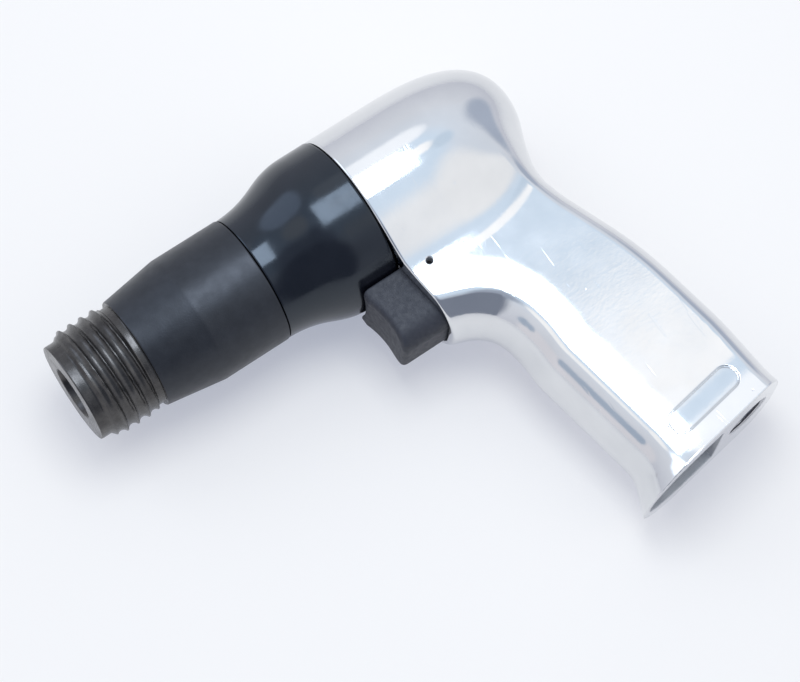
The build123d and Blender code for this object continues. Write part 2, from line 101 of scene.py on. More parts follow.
BACK_DEPTH = 7.6           # how far the rounded back reaches into the flat side
FRONT_DEPTH = 16.75        # half axes of the oval that rounds the front strap
FRONT_HALF = 16.75
BUTT_DEPTH = 20.0          # the oval's depth at the butt
CROWN_DEPTH = 18.0         # the flat side falls away from here to the edge of the front strap
CROWN_EDGE = 7.6
CROWN_DROP = 1.0
CROWN_RIM = 0.5
FACE_EDGE = 0.8
BUTT_RIM = 0.5
PANEL_ENDS = (1.8, 19.2)   # line round the bare panel, from the inlet axis
PANEL_S = 9.7
PANEL_R = 3.4
PANEL_LINE = 0.22
PANEL_DEPTH = 0.5

# Ways and bores in the handle
SCREW_R = 15.05
SCREW_X = -107.3
CASE_R = 14.6
CASE_X = -127.0
LIVE_AIR_R = 10.0
LIVE_AIR_X = -137.0
FACE_GROOVE = (16.8, 20.6, 7.0)
SEAL_GROOVE = (21.7, 23.2, 1.2)
POCKET_HALF = 10.4
POCKET_Y = 43.4
POCKET_CORNER = 6.4
POCKET_EDGE = 0.6
POCKET_X = -106.0
LEDGE_R = 24.6
THROTTLE_Y = 35.0
THROTTLE_R = 6.5
THROTTLE_X = -137.0
SLOT_BACK = 11.5
SLOT_FRONT = 27.0
SLOT_HALF = 11.0
SLOT_CORNER = 4.0
SLOT_TIP = 38.5
SLOT_BOW = 15.0
SLOT_TOP = 48.0
SLOT_SLOPE_TOP = 11.5
SLOT_SLOPE_EDGE = 0.8      # how far the slot's inner edges are rounded
SLOT_BACK_EDGE = 0.4
SLOT_BLEND = 1.0
INLET_R = 6.2
INLET_SLEEVE_R = 6.9
INLET_MOUTH_R = 7.15
INLET_LENGTH = 14.4
RING_R = 6.6
RING_TOP = 15.6
SCREEN_TOP = 16.2
PASSAGE_R = 5.0
PASSAGE_TOP = 68.0
PIPE_PITCH = 1.411         # eighteen threads to the inch
PIPE_DEPTH = 0.6
PIN_AT = (-98.1, 27.4)
PIN_R = 1.0
CUT_EDGE = 0.3

# Trigger
TRIGGER_X = -79.0
TRIGGER_REAR = -101.6
TRIGGER_Y = 43.0
TRIGGER_HALF = 10.0
TRIGGER_CORNER = 6.0
TRIGGER_TOP_R = 24.9
TRIGGER_FRONT_EDGE = 2.2   # how far each edge is rounded
TRIGGER_TOP_EDGE = 0.8
TRIGGER_REAR_EDGE = 0.6
BROW_Y = 26.3              # where the finger hollow starts
FINGER_HOLLOW = 1.3
PIN_SLOT = (-98.25, -93.95)
PIN_SLOT_HALF = 1.15

# Barrel
LAND_R = 14.6
LAND_X = -3.2
THREAD_R = 16.5
THREAD_X = -5.0
THREAD_PITCH = 3.5
GROOVE_R = 1.75
GROOVE_DEPTH = 1.05
GROOVE_X = -8.05           # where a groove crosses the left side
NECK_X = -17.3
NECK_R = 15.2
SHOULDER_X = -20.1
SHOULDER_R = 16.4
CONE_X = -37.5
BARREL_R = 19.07
JOINT_X = -58.25
SPIGOT_R = 15.0
SPIGOT_X = -107.0
MOUTH_R = 7.85
MOUTH_X = -9.0
SHANK_R = 5.12
SHANK_X = -36.0
PISTON_BORE_R = 9.525
FRONT_SEAL = (15.9, 17.7, 1.2)

# Exhaust hood
HOOD_FRONT = -58.55
HOOD_REAR = -91.3
HOOD_FRONT_R = 18.9
HOOD_SWELL_X = -82.95
HOOD_EASE_FRONT = (-71.55, 19.3)
HOOD_EASE_REAR = -72.45
HOOD_BORE_R = 15.05
HOOD_INNER_R = 21.0
HOOD_INNER_X = -79.65
HOOD_THROAT = (-66.35, 16.95)
HOOD_LIP_X = -63.05

# Throttle spring
SPRING_FRONT = -125.55
SPRING_REAR = -135.5
SPRING_R = 3.9
SPRING_WIRE_R = 0.4
SPRING_TURNS = 5

# Camera: place and directions in the tool frame, lens and sensor in millimetres
CAMERA_AT = (80.13, 218.32, 669.11)
CAMERA_FORWARD = (-0.227576, -0.253864, -0.940086)
CAMERA_RIGHT = (-0.816101, 0.576388, 0.041912)
CAMERA_LENS = 117.0
SENSOR_WIDTH = 36.0

# Floor, which glows a little so that shadows stay light
FLOOR_COLOUR = (0.545, 0.495, 0.41)
FLOOR_GLOW = (0.335, 0.362, 0.445)


def to_row(points):
    return np.asarray(points, float) @ TURN.T * MM + NOSE


def turned(vectors):
    return np.asarray(vectors, float) @ TURN.T


# Mesh building

def add_piece(name, points, faces, materials, node, body="housing", normals=None, crease=32.0):
    """Adds a mesh given in the tool frame. It stands for a CAD node and rides on that node's body."""
    mesh = bpy.data.meshes.new(name)
    mesh.from_pydata(to_row(points).tolist(), [], faces)
    for material in materials:
        mesh.materials.append(material)
    mesh.shade_smooth()
    if normals is None:
        mesh.set_sharp_from_angle(angle=math.radians(crease))
    else:
        mesh.normals_split_custom_set(turned(normals).tolist())
    piece = bpy.data.objects.new(name, mesh)
    bpy.context.scene.collection.objects.link(piece)
    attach(piece, body)
    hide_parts(node)
    return piece


def lines(*stretches):
    """Grid lines through stretches of (start, end, step), each starting where the last one ended."""
    parts = []
    for start, end, step in stretches:
        count = max(1, round((end - start) / step))
        parts.append(np.linspace(start, end, count, endpoint=False))
    return np.concatenate(parts + [[stretches[-1][1]]])


def slope(field, points, step=0.02):
    """Gradient of a field at the points, by central differences."""
    parts = []
    for axis in range(3):
        offset = np.zeros(3)
        offset[axis] = step
        ahead = field(*(points + offset).T)
        behind = field(*(points - offset).T)
        parts.append((ahead - behind) / (2 * step))
    return np.stack(parts, axis=1)


def unit(vectors):
    return vectors / np.maximum(np.linalg.norm(vectors, axis=1), 1e-9)[:, None]


def crossings(field, grid, axes, axis):
    """Where the surface crosses grid edges along one axis: edges, crossing points and if they face ahead."""
    inside = grid < 0
    low = [slice(None)] * 3
    high = [slice(None)] * 3
    low[axis] = slice(0, -1)
    high[axis] = slice(1, None)
    edges = np.argwhere(inside[tuple(low)] != inside[tuple(high)])
    ahead = np.zeros(3, int)
    ahead[axis] = 1
    begin = np.stack([axes[k][edges[:, k]] for k in range(3)], axis=1)
    end = np.stack([axes[k][edges[:, k] + ahead[k]] for k in range(3)], axis=1)
    value_begin = grid[tuple(edges.T)]
    value_end = grid[tuple((edges + ahead).T)]
    leaving = value_begin < 0
    for _ in range(4):
        share = (value_begin / (value_begin - value_end))[:, None]
        middle = begin + share * (end - begin)
        value = field(*middle.T)
        keeps_begin = (value < 0) == (value_begin < 0)
        begin = np.where(keeps_begin[:, None], middle, begin)
        value_begin = np.where(keeps_begin, value, value_begin)
        end = np.where(keeps_begin[:, None], end, middle)
        value_end = np.where(keeps_begin, value_end, value)
    share = (value_begin / np.where(value_begin == value_end, 1, value_begin - value_end))[:, None]
    return edges, begin + share * (end - begin), leaving


def fitted_points(owner, spots, normals, low, high):
    """One point for each cell, as near as can be to the tangent planes at the cell's crossings."""
    count = len(low)
    pull = 0.05
    weight = np.bincount(owner, minlength=count)
    mean = np.stack([np.bincount(owner, spots[:, k], count) for k in range(3)], axis=1) / weight[:, None]
    offset = (normals * (spots - mean[owner])).sum(axis=1)
    right = np.stack([np.bincount(owner, normals[:, k] * offset, count) for k in range(3)], axis=1)
    matrix = np.zeros((count, 3, 3))
    for row in range(3):
        for column in range(3):
            matrix[:, row, column] = np.bincount(owner, normals[:, row] * normals[:, column], count)
    matrix += pull * np.eye(3)
    return np.clip(mean + np.linalg.solve(matrix, right[:, :, None])[:, :, 0], low, high)


def dual_surface(field, xs, ys, zs):
    """Points, quads and corner normals of the surface where a field is zero. It is negative inside."""
    axes = (xs, ys, zs)
    shape = tuple(len(axis) for axis in axes)
    grid = np.broadcast_to(field(xs[:, None, None], ys[None, :, None], zs[None, None, :]), shape)
    spots = []
    quads = []
    for axis in range(3):
        edges, spot, leaving = crossings(field, grid, axes, axis)
        first, second = [(1, 2), (2, 0), (0, 1)][axis]
        corners = []
        for back_first, back_second in ((1, 1), (0, 1), (0, 0), (1, 0)):
            cell = edges.copy()
            cell[:, first] -= back_first
            cell[:, second] -= back_second
            corners.append(np.ravel_multi_index(cell.T, shape))
        quad = np.stack(corners, axis=1)
        quads.append(np.where(leaving[:, None], quad, quad[:, ::-1]))
        spots.append(spot)
    quads = np.concatenate(quads)
    spots = np.concatenate(spots)
    cells, owner = np.unique(quads, return_inverse=True)
    quads = owner.reshape(quads.shape)
    place = np.stack(np.unravel_index(cells, shape), axis=1)
    low = np.stack([axes[k][place[:, k]] for k in range(3)], axis=1)
    high = np.stack([axes[k][place[:, k] + 1] for k in range(3)], axis=1)
    normals = unit(slope(field, spots))
    spots_by_corner = np.repeat(spots, 4, axis=0)
    normals_by_corner = np.repeat(normals, 4, axis=0)
    points = fitted_points(quads.ravel(), spots_by_corner, normals_by_corner, low, high)
    return points, quads, corner_normals(field, points, quads)


def corner_normals(field, points, quads, crease=18.0):
    """Normals at each quad's corners, taken from inside the quad where the corner is on a crease."""
    at_points = unit(slope(field, points))[quads]
    middle = points[quads].mean(axis=1, keepdims=True)
    within = (0.5 * (points[quads] + middle)).reshape(-1, 3)
    at_quads = unit(slope(field, within)).reshape(at_points.shape)
    smooth = (at_points * at_quads).sum(axis=2, keepdims=True) > math.cos(math.radians(crease))
    return np.where(smooth, at_points, at_quads).reshape(-1, 3)


def smooth_min(a, b, reach):
    share = np.clip(0.5 + 0.5 * (b - a) / reach, 0, 1)
    return b + (a - b) * share - reach * share * (1 - share)


def smooth_max(a, b, reach):
    return -smooth_min(-a, -b, reach)


def round_max(a, b, radius):
    """What is inside both fields, with the edge where they meet rounded to a radius."""
    past = np.hypot(np.maximum(a + radius, 0), np.maximum(b + radius, 0))
    return past + np.minimum(np.maximum(a, b) + radius, 0) - radius


def rise(value, low, high):
    """Zero up to low, one from high on, and a smooth step between."""
    share = np.clip((value - low) / (high - low), 0, 1)
    return share * share * (3 - 2 * share)


def softened(profile, radius):
    """The profile with its sharp corners rounded, and a point on either side that keeps the runs straight."""
    gentle = math.radians(10)
    rounded = [profile[0]]
    for before, corner, after in zip(profile, profile[1:], profile[2:]):
        corner = Vector(corner)
        to_before = Vector(before) - corner
        to_after = Vector(after) - corner
        if to_before.angle(-to_after) < gentle:
            rounded.append(tuple(corner))
            continue
        reach = min(radius, 0.4 * to_before.length, 0.4 * to_after.length)
        start = corner + to_before.normalized() * reach
        end = corner + to_after.normalized() * reach
        rounded.append(tuple(corner + to_before.normalized() * reach * 1.2))
        for share in (0, 0.5, 1):
            on_curve = (1 - share) ** 2 * start + 2 * share * (1 - share) * corner + share ** 2 * end
            rounded.append(tuple(on_curve))
        rounded.append(tuple(corner + to_after.normalized() * reach * 1.2))
    return rounded + [profile[-1]]


def closed_loop(profile, radius):
    """A closed profile with every corner rounded."""
    return softened([profile[-1], *profile, profile[0]], radius)[1:-1]


def lathe(profile, segments, shrink=None):
    """A closed ring of (x, r) points turned about the barrel's axis. shrink may lower r by x and angle."""
    profile = np.array(profile)
    angles = np.linspace(0, 2 * math.pi, segments, endpoint=False)
    x = np.repeat(profile[:, :1], segments, axis=1)
    r = np.repeat(profile[:, 1:], segments, axis=1)
    if shrink is not None:
        r = np.minimum(r, shrink(x, angles[None, :]))
    points = np.stack([x, r * np.cos(angles), r * np.sin(angles)], axis=-1).reshape(-1, 3)
    rings = len(profile)
    faces = []
    for ring in range(rings):
        after = (ring + 1) % rings
        for step in range(segments):
            beside = (step + 1) % segments
            faces.append((
                ring * segments + step,
                after * segments + step,
                after * segments + beside,
                ring * segments + beside,
            ))
    return points, faces


# Handle shape

def grip_axes(x, y):
    """Distances from the inlet mouth: u towards the front strap and s up the grip."""
    u = (x - INLET[0]) * math.cos(LEAN) + (y - INLET[1]) * math.sin(LEAN)
    s = (x - INLET[0]) * math.sin(LEAN) - (y - INLET[1]) * math.cos(LEAN)
    return u, s


def grip_point(u, s):
    return (
        INLET[0] + u * math.cos(LEAN) + s * math.sin(LEAN),
        INLET[1] + u * math.sin(LEAN) - s * math.cos(LEAN),
    )


def beside_line(x, y, start, end):
    """Distance to the left of the line from start to end, as X and Y are drawn."""
    along_x = end[0] - start[0]
    along_y = end[1] - start[1]
    return (along_x * (y - start[1]) - along_y * (x - start[0])) / math.hypot(along_x, along_y)


def head_field(x, y, z):
    behind = np.maximum(DOME_X - x, 0)
    lifted = y + DOME_LIFT * np.clip(behind / DOME_LIFT_RUN, 0, 2) ** 2
    along = behind / DOME_LENGTH
    across = np.maximum(np.hypot(lifted, z), 1e-6) / HEAD_R
    level = np.maximum(along ** DOME_POWER + across ** DOME_POWER, 1e-9) ** (1 / DOME_POWER)
    steep = np.hypot(
        (along / level) ** (DOME_POWER - 1) / DOME_LENGTH,
        (across / level) ** (DOME_POWER - 1) / HEAD_R,
    )
    return (level - 1) / steep


def oval_field(across, near, half, depth):
    """Distance from an oval. Across runs from the middle plane and near from the oval's centre, as shares."""
    level = np.sqrt(across ** 2 + near ** 2)
    steep = np.sqrt((across / half) ** 2 + (near / depth) ** 2 + 1e-9)
    return (level - 1) * np.maximum(level, 0.3) / steep


def grip_front(x, y):
    """Distance inside the outline of chin, front strap and flare."""
    u, s = grip_axes(x, y)
    chin = beside_line(x, y, (HANDLE_X, CHIN_Y), KNUCKLE)
    strap = STRAP_FRONT - STRAP_HOLLOW * rise(s, *STRAP_HOLLOW_S) - u
    inside = np.clip(np.maximum(chin, strap), 0, 20)
    to_front = smooth_max(chin, strap, KNUCKLE_REACH + KNUCKLE_EASE * inside)
    flare = (FLARE_TIP - STRAP_FRONT) / FLARE_TOP
    to_flare = (FLARE_TIP - flare * s - u) / math.hypot(1, flare)
    return smooth_max(to_front, to_flare, FLARE_REACH + FLARE_EASE * inside)


def grip_back(x, y):
    """Distance inside the outline of the web and the back."""
    u, s = grip_axes(x, y)
    back_bend = grip_point(-STRAP_BACK, BACK_BEND_S)
    taper = BACK_TAPER * np.clip(1 - s / BACK_TAPER_S, 0, 1.2) ** 1.3
    below_web = smooth_min(beside_line(x, y, back_bend, WEB), u + STRAP_BACK - taper, BACK_BEND_REACH)
    return smooth_max(beside_line(x, y, WEB, WEB_TOP), below_web, WEB_REACH)


def grip_field(x, y, z):
    s = grip_axes(x, y)[1]
    to_front = grip_front(x, y)
    to_back = grip_back(x, y)
    half = GRIP_HALF + (BUTT_HALF - GRIP_HALF) * np.clip(1 - s / BUTT_SPREAD, 0, 1.2) ** 2
    spread = np.clip(1 - s / FLARE_TOP, 0, 1.2) ** 1.5
    front_depth = FRONT_DEPTH + (BUTT_DEPTH - FRONT_DEPTH) * spread
    near_front = np.maximum(front_depth - to_front, 0) / front_depth
    front_half = FRONT_HALF + half - GRIP_HALF
    front = oval_field(np.abs(z) / front_half, near_front, front_half, front_depth)
    near_back = np.maximum(BACK_DEPTH - to_back, 0) / BACK_DEPTH
    back = oval_field(np.abs(z) / half, near_back, half, BACK_DEPTH)
    fall = np.clip((CROWN_DEPTH - to_front) / (CROWN_DEPTH - CROWN_EDGE), 0, 1.4)
    side = np.abs(z) - half + CROWN_DROP * fall ** 2
    slab = np.maximum(smooth_max(front, side, CROWN_RIM), back)
    return np.maximum(slab, SLAB_TOP - y)


def panel_line(x, y, z):
    """Depth of the thin line that is cast round the panel on the left side."""
    u, s = grip_axes(x, y)
    along = np.clip(u, *PANEL_ENDS)
    off = np.abs(np.hypot(u - along, s - PANEL_S) - PANEL_R)
    return PANEL_DEPTH * np.exp(-(off / PANEL_LINE) ** 2) * (z > 0)


def bore(x, y, z, r, end, axis_y=0.0):
    """A hole along the barrel's direction, from the end forward."""
    return np.maximum(np.hypot(y - axis_y, z) - r, end - x)


def ring_groove(x, y, z, inner, outer, depth):
    across = np.abs(np.hypot(y, z) - (inner + outer) / 2) - (outer - inner) / 2
    return np.maximum(across, HANDLE_X - depth - x)


def slot_field(u, s, z):
    across = np.abs(u - (SLOT_FRONT + SLOT_BACK) / 2) - (SLOT_FRONT - SLOT_BACK) / 2
    shaft = np.maximum(round_max(across, np.abs(z) - SLOT_HALF, SLOT_CORNER), s - SLOT_TOP)
    ahead = np.maximum(u - (SLOT_TIP - SLOT_BOW), 0) / SLOT_BOW
    bow = (np.hypot(ahead, z / SLOT_HALF) - 1) * SLOT_HALF
    lean = (SLOT_TIP - SLOT_FRONT) / SLOT_SLOPE_TOP
    sloped = (u - SLOT_TIP + lean * s) / math.hypot(1, lean)
    mouth = smooth_max(smooth_max(bow, sloped, SLOT_SLOPE_EDGE), SLOT_BACK - u, SLOT_BACK_EDGE)
    return smooth_min(shaft, mouth, SLOT_BLEND)


def inlet_field(u, s, z):
    r = np.hypot(u, z)
    mouth = np.maximum(r - INLET_SLEEVE_R, s - INLET_LENGTH)
    mouth = np.minimum(mouth, (r - INLET_MOUTH_R + s) / math.sqrt(2))
    ring = np.maximum(r - RING_R, s - RING_TOP)
    screen = np.maximum(r - INLET_R, s - SCREEN_TOP)
    passage = np.maximum(r - PASSAGE_R, s - PASSAGE_TOP)
    return np.minimum(np.minimum(mouth, ring), np.minimum(screen, passage))


def pocket_field(x, y, z):
    section = round_max(np.abs(z) - POCKET_HALF, y - POCKET_Y, POCKET_CORNER)
    pocket = np.maximum(np.maximum(section, LEDGE_R - np.hypot(y, z)), POCKET_X - x)
    return np.maximum(pocket, -y)


def casting_field(x, y, z):
    """The handle before anything is cut into it."""
    blend = HEAD_BLEND[0] + (HEAD_BLEND[1] - HEAD_BLEND[0]) * rise(y, *HEAD_BLEND_Y)
    body = smooth_min(head_field(x, y, z), grip_field(x, y, z), blend) + panel_line(x, y, z)
    leaning = (x - HANDLE_X) * math.cos(FRONT_LEAN) + (y - HEAD_R) * math.sin(FRONT_LEAN)
    body = smooth_max(body, np.maximum(x - HANDLE_X, leaning), FACE_EDGE)
    return smooth_max(body, -grip_axes(x, y)[1], BUTT_RIM)


def drilled_field(x, y, z):
    u, s = grip_axes(x, y)
    cuts = [
        bore(x, y, z, SCREW_R, SCREW_X),
        bore(x, y, z, CASE_R, CASE_X),
        bore(x, y, z, LIVE_AIR_R, LIVE_AIR_X),
        bore(x, y, z, THROTTLE_R, THROTTLE_X, THROTTLE_Y),
        ring_groove(x, y, z, *FACE_GROOVE),
        ring_groove(x, y, z, *SEAL_GROOVE),
        np.hypot(x - PIN_AT[0], y - PIN_AT[1]) - PIN_R,
        slot_field(u, s, z),
        inlet_field(u, s, z),
    ]
    nearest = cuts[0]
    for cut in cuts[1:]:
        nearest = np.minimum(nearest, cut)
    return nearest


def handle_field(x, y, z):
    body = smooth_max(casting_field(x, y, z), -pocket_field(x, y, z), POCKET_EDGE)
    return smooth_max(body, -drilled_field(x, y, z), CUT_EDGE)


def make_handle(polished, as_cast):
    xs = lines(
        (-160.6, -148.4, 0.5), (-148.4, -122.6, 0.16), (-122.6, -99.6, 0.6), (-99.6, -96.6, 0.2),
        (-96.6, -93.4, 0.5), (-93.4, -91.2, 0.2),
    )
    ys = lines(
        (-26.0, 25.8, 0.6), (25.8, 29.0, 0.2), (29.0, 41.0, 0.5), (41.0, 45.6, 0.2), (45.6, 95.6, 0.6),
        (95.6, 106.6, 0.16), (106.6, 117.0, 0.3),
    )
    zs = lines((-25.4, -11.8, 0.6), (-11.8, 11.8, 0.3), (11.8, 25.4, 0.6))
    points, faces, normals = dual_surface(handle_field, xs, ys, zs)
    piece = add_piece(
        "polished_handle", points, faces.tolist(), [polished, as_cast], "handle", normals=normals
    )
    middle = points[faces].mean(axis=1).T
    cut = np.minimum(pocket_field(*middle), drilled_field(*middle))
    inside = -cut > casting_field(*middle)
    piece.data.polygons.foreach_set("material_index", inside.astype(np.int32))


def make_inlet_thread(material):
    """The pipe thread in the inlet, as a sleeve that fills the wider bore of the handle mesh."""
    segments = 72
    rows = 96
    start = INLET_MOUTH_R - INLET_SLEEVE_R
    s = np.linspace(start, INLET_LENGTH, rows)[:, None]
    angles = np.linspace(0, 2 * math.pi, segments, endpoint=False)[None, :]
    turn = s / PIPE_PITCH + angles / (2 * math.pi)
    tooth = 1 - np.abs(2 * (turn % 1) - 1)
    r = np.maximum(INLET_R + PIPE_DEPTH * tooth, INLET_SLEEVE_R - 2.5 * (s - start))
    inner = np.stack([r * np.cos(angles), s + 0 * angles, r * np.sin(angles)], axis=-1)
    outer_r = INLET_SLEEVE_R + 0.05
    outer = [
        np.stack([outer_r * np.cos(angles), at + 0 * angles, outer_r * np.sin(angles)], axis=-1)
        for at in (INLET_LENGTH, start)
    ]
    rings = np.concatenate([inner, *outer])
    x, y = grip_point(rings[..., 0], rings[..., 1])
    points = np.stack([x, y, rings[..., 2]], axis=-1).reshape(-1, 3)
    count = len(rings)
    faces = [
        (
            ring * segments + step,
            ring * segments + (step + 1) % segments,
            (ring + 1) % count * segments + (step + 1) % segments,
            (ring + 1) % count * segments + step,
        )
        for ring in range(count)
        for step in range(segments)
    ]
    piece = add_piece("inlet_thread", points, faces, [material], "handle")


# Trigger shape

def trigger_field(x, y, z):
    chord = (TRIGGER_Y - BROW_Y) / 2
    hollow_r = (chord ** 2 + FINGER_HOLLOW ** 2) / (2 * FINGER_HOLLOW)
    centre = (TRIGGER_X - FINGER_HOLLOW + hollow_r, (TRIGGER_Y + BROW_Y) / 2)
    front = np.maximum(hollow_r - np.hypot(x - centre[0], y - centre[1]), x - TRIGGER_X)
    section = round_max(np.abs(z) - TRIGGER_HALF, y - TRIGGER_Y, TRIGGER_CORNER)
    solid = smooth_max(front, section, TRIGGER_FRONT_EDGE)
    solid = smooth_max(solid, TRIGGER_TOP_R - np.hypot(y, z), TRIGGER_TOP_EDGE)
    solid = smooth_max(solid, TRIGGER_REAR - x, TRIGGER_REAR_EDGE)
    along = np.clip(x, *PIN_SLOT)
    slot = np.hypot(x - along, y - PIN_AT[1]) - PIN_SLOT_HALF
    return smooth_max(solid, -slot, CUT_EDGE)


def make_trigger(material):
    xs = lines((-102.4, -78.4, 0.3))
    ys = lines((21.6, 43.6, 0.3))
    zs = lines((-10.7, 10.7, 0.3))
    points, faces, normals = dual_surface(trigger_field, xs, ys, zs)
    piece = add_piece(
        "grip_trigger", points, faces.tolist(), [material], "trigger", body="trigger", normals=normals
    )


# Turned pieces

def thread_floor(x, angle):
    """Radius left by the round grooves of the nose thread."""
    middle = GROOVE_X + THREAD_PITCH * (angle - math.pi / 2) / (2 * math.pi)
    off = (x - middle + THREAD_PITCH / 2) % THREAD_PITCH - THREAD_PITCH / 2
    centre_r = THREAD_R - GROOVE_DEPTH + GROOVE_R
    cut = centre_r - np.sqrt(np.maximum(GROOVE_R ** 2 - off ** 2, 0))
    return np.where((x < LAND_X) & (x > NECK_X - 0.3) & (np.abs(off) < GROOVE_R), cut, 1e3)


def make_barrel(body_material, nose_material):
    near = 0.5
    cone_slope = (BARREL_R - SHOULDER_R) / (SHOULDER_X - CONE_X)
    outside = softened([
        (MOUTH_X, SHANK_R),
        (0, MOUTH_R),
        (0, LAND_R),
        (LAND_X, LAND_R),
        (THREAD_X, THREAD_R),
        (NECK_X, THREAD_R),
        (NECK_X - 0.6, NECK_R),
        (SHOULDER_X, NECK_R),
        (SHOULDER_X, SHOULDER_R),
        (CONE_X + near, BARREL_R - near * cone_slope),
        (CONE_X, BARREL_R),
        (CONE_X - near, BARREL_R),
        (JOINT_X, BARREL_R),
        (JOINT_X, FRONT_SEAL[1]),
        (JOINT_X + FRONT_SEAL[2], FRONT_SEAL[1]),
        (JOINT_X + FRONT_SEAL[2], FRONT_SEAL[0]),
        (JOINT_X, FRONT_SEAL[0]),
        (JOINT_X, SPIGOT_R),
        (SPIGOT_X, SPIGOT_R),
        (SPIGOT_X, PISTON_BORE_R),
        (SHANK_X, PISTON_BORE_R),
        (SHANK_X, SHANK_R),
        (MOUTH_X, SHANK_R),
    ], 0.35)[:-1]
    profile = [outside[0]]
    for start, end in zip(outside, outside[1:]):
        on_thread = NECK_X - 1 < start[0] < LAND_X + 0.5 and start[1] > NECK_R - 1
        pieces = math.ceil(abs(end[0] - start[0]) / 0.14) if on_thread else 1
        for step in range(1, pieces + 1):
            share = step / pieces
            profile.append((start[0] + share * (end[0] - start[0]), start[1] + share * (end[1] - start[1])))
    segments = 144
    points, faces = lathe(profile, segments, shrink=thread_floor)
    piece = add_piece("barrel_cylinder", points, faces, [body_material, nose_material], "barrel", crease=40.0)
    x = np.repeat([0.5 * (a[0] + b[0]) for a, b in zip(profile, profile[1:] + profile[:1])], segments)
    piece.data.polygons.foreach_set("material_index", (x > SHOULDER_X - 0.05).astype(np.int32))


def make_hood(material):
    start = Vector((HOOD_FRONT, HOOD_FRONT_R))
    pull_front = Vector(HOOD_EASE_FRONT)
    pull_rear = Vector((HOOD_EASE_REAR, HEAD_R))
    end = Vector((HOOD_SWELL_X, HEAD_R))
    swell = []
    for share in np.linspace(0, 1, 40):
        left = 1 - share
        on_curve = left ** 3 * start + 3 * left ** 2 * share * pull_front
        on_curve += 3 * left * share ** 2 * pull_rear + share ** 3 * end
        swell.append(tuple(on_curve))
    profile = closed_loop(swell + [
        (HOOD_REAR, HEAD_R),
        (HOOD_REAR, HOOD_INNER_R),
        (HOOD_INNER_X, HOOD_INNER_R),
        HOOD_THROAT,
        (HOOD_LIP_X, HOOD_BORE_R),
        (HOOD_FRONT, HOOD_BORE_R),
    ], 0.45)
    points, faces = lathe(profile, 160)
    piece = add_piece("gloss_hood", points, faces, [material], "exhaust_hood")


def make_spring(material):
    """The throttle's return spring, drawn as a fixed coil. On the tool it shortens towards its cup as the
    throttle opens.
    """
    steps = 36 * SPRING_TURNS
    sides = 10
    length = SPRING_FRONT - SPRING_REAR - 2 * SPRING_WIRE_R
    turn = np.linspace(0, 2 * math.pi * SPRING_TURNS, steps + 1)
    middle = np.stack([
        SPRING_REAR + SPRING_WIRE_R + length * np.linspace(0, 1, steps + 1),
        THROTTLE_Y + SPRING_R * np.cos(turn),
        SPRING_R * np.sin(turn),
    ], axis=1)
    outward = np.stack([0 * turn, np.cos(turn), np.sin(turn)], axis=1)
    ahead = np.gradient(middle, axis=0)
    ahead /= np.linalg.norm(ahead, axis=1)[:, None]
    across = np.cross(ahead, outward)
    angles = np.linspace(0, 2 * math.pi, sides, endpoint=False)
    rings = middle[:, None] + SPRING_WIRE_R * (
        np.cos(angles)[None, :, None] * outward[:, None] + np.sin(angles)[None, :, None] * across[:, None]
    )
    faces = [
        (
            ring * sides + step,
            ring * sides + (step + 1) % sides,
            (ring + 1) * sides + (step + 1) % sides,
            (ring + 1) * sides + step,
        )
        for ring in range(steps)
        for step in range(sides)
    ]
    faces.append(tuple(range(sides))[::-1])
    faces.append(tuple(range(steps * sides, (steps + 1) * sides)))
    piece = add_piece("return_spring", rings.reshape(-1, 3), faces, [material], "throttle_spring")
    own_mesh(piece)


# Materials

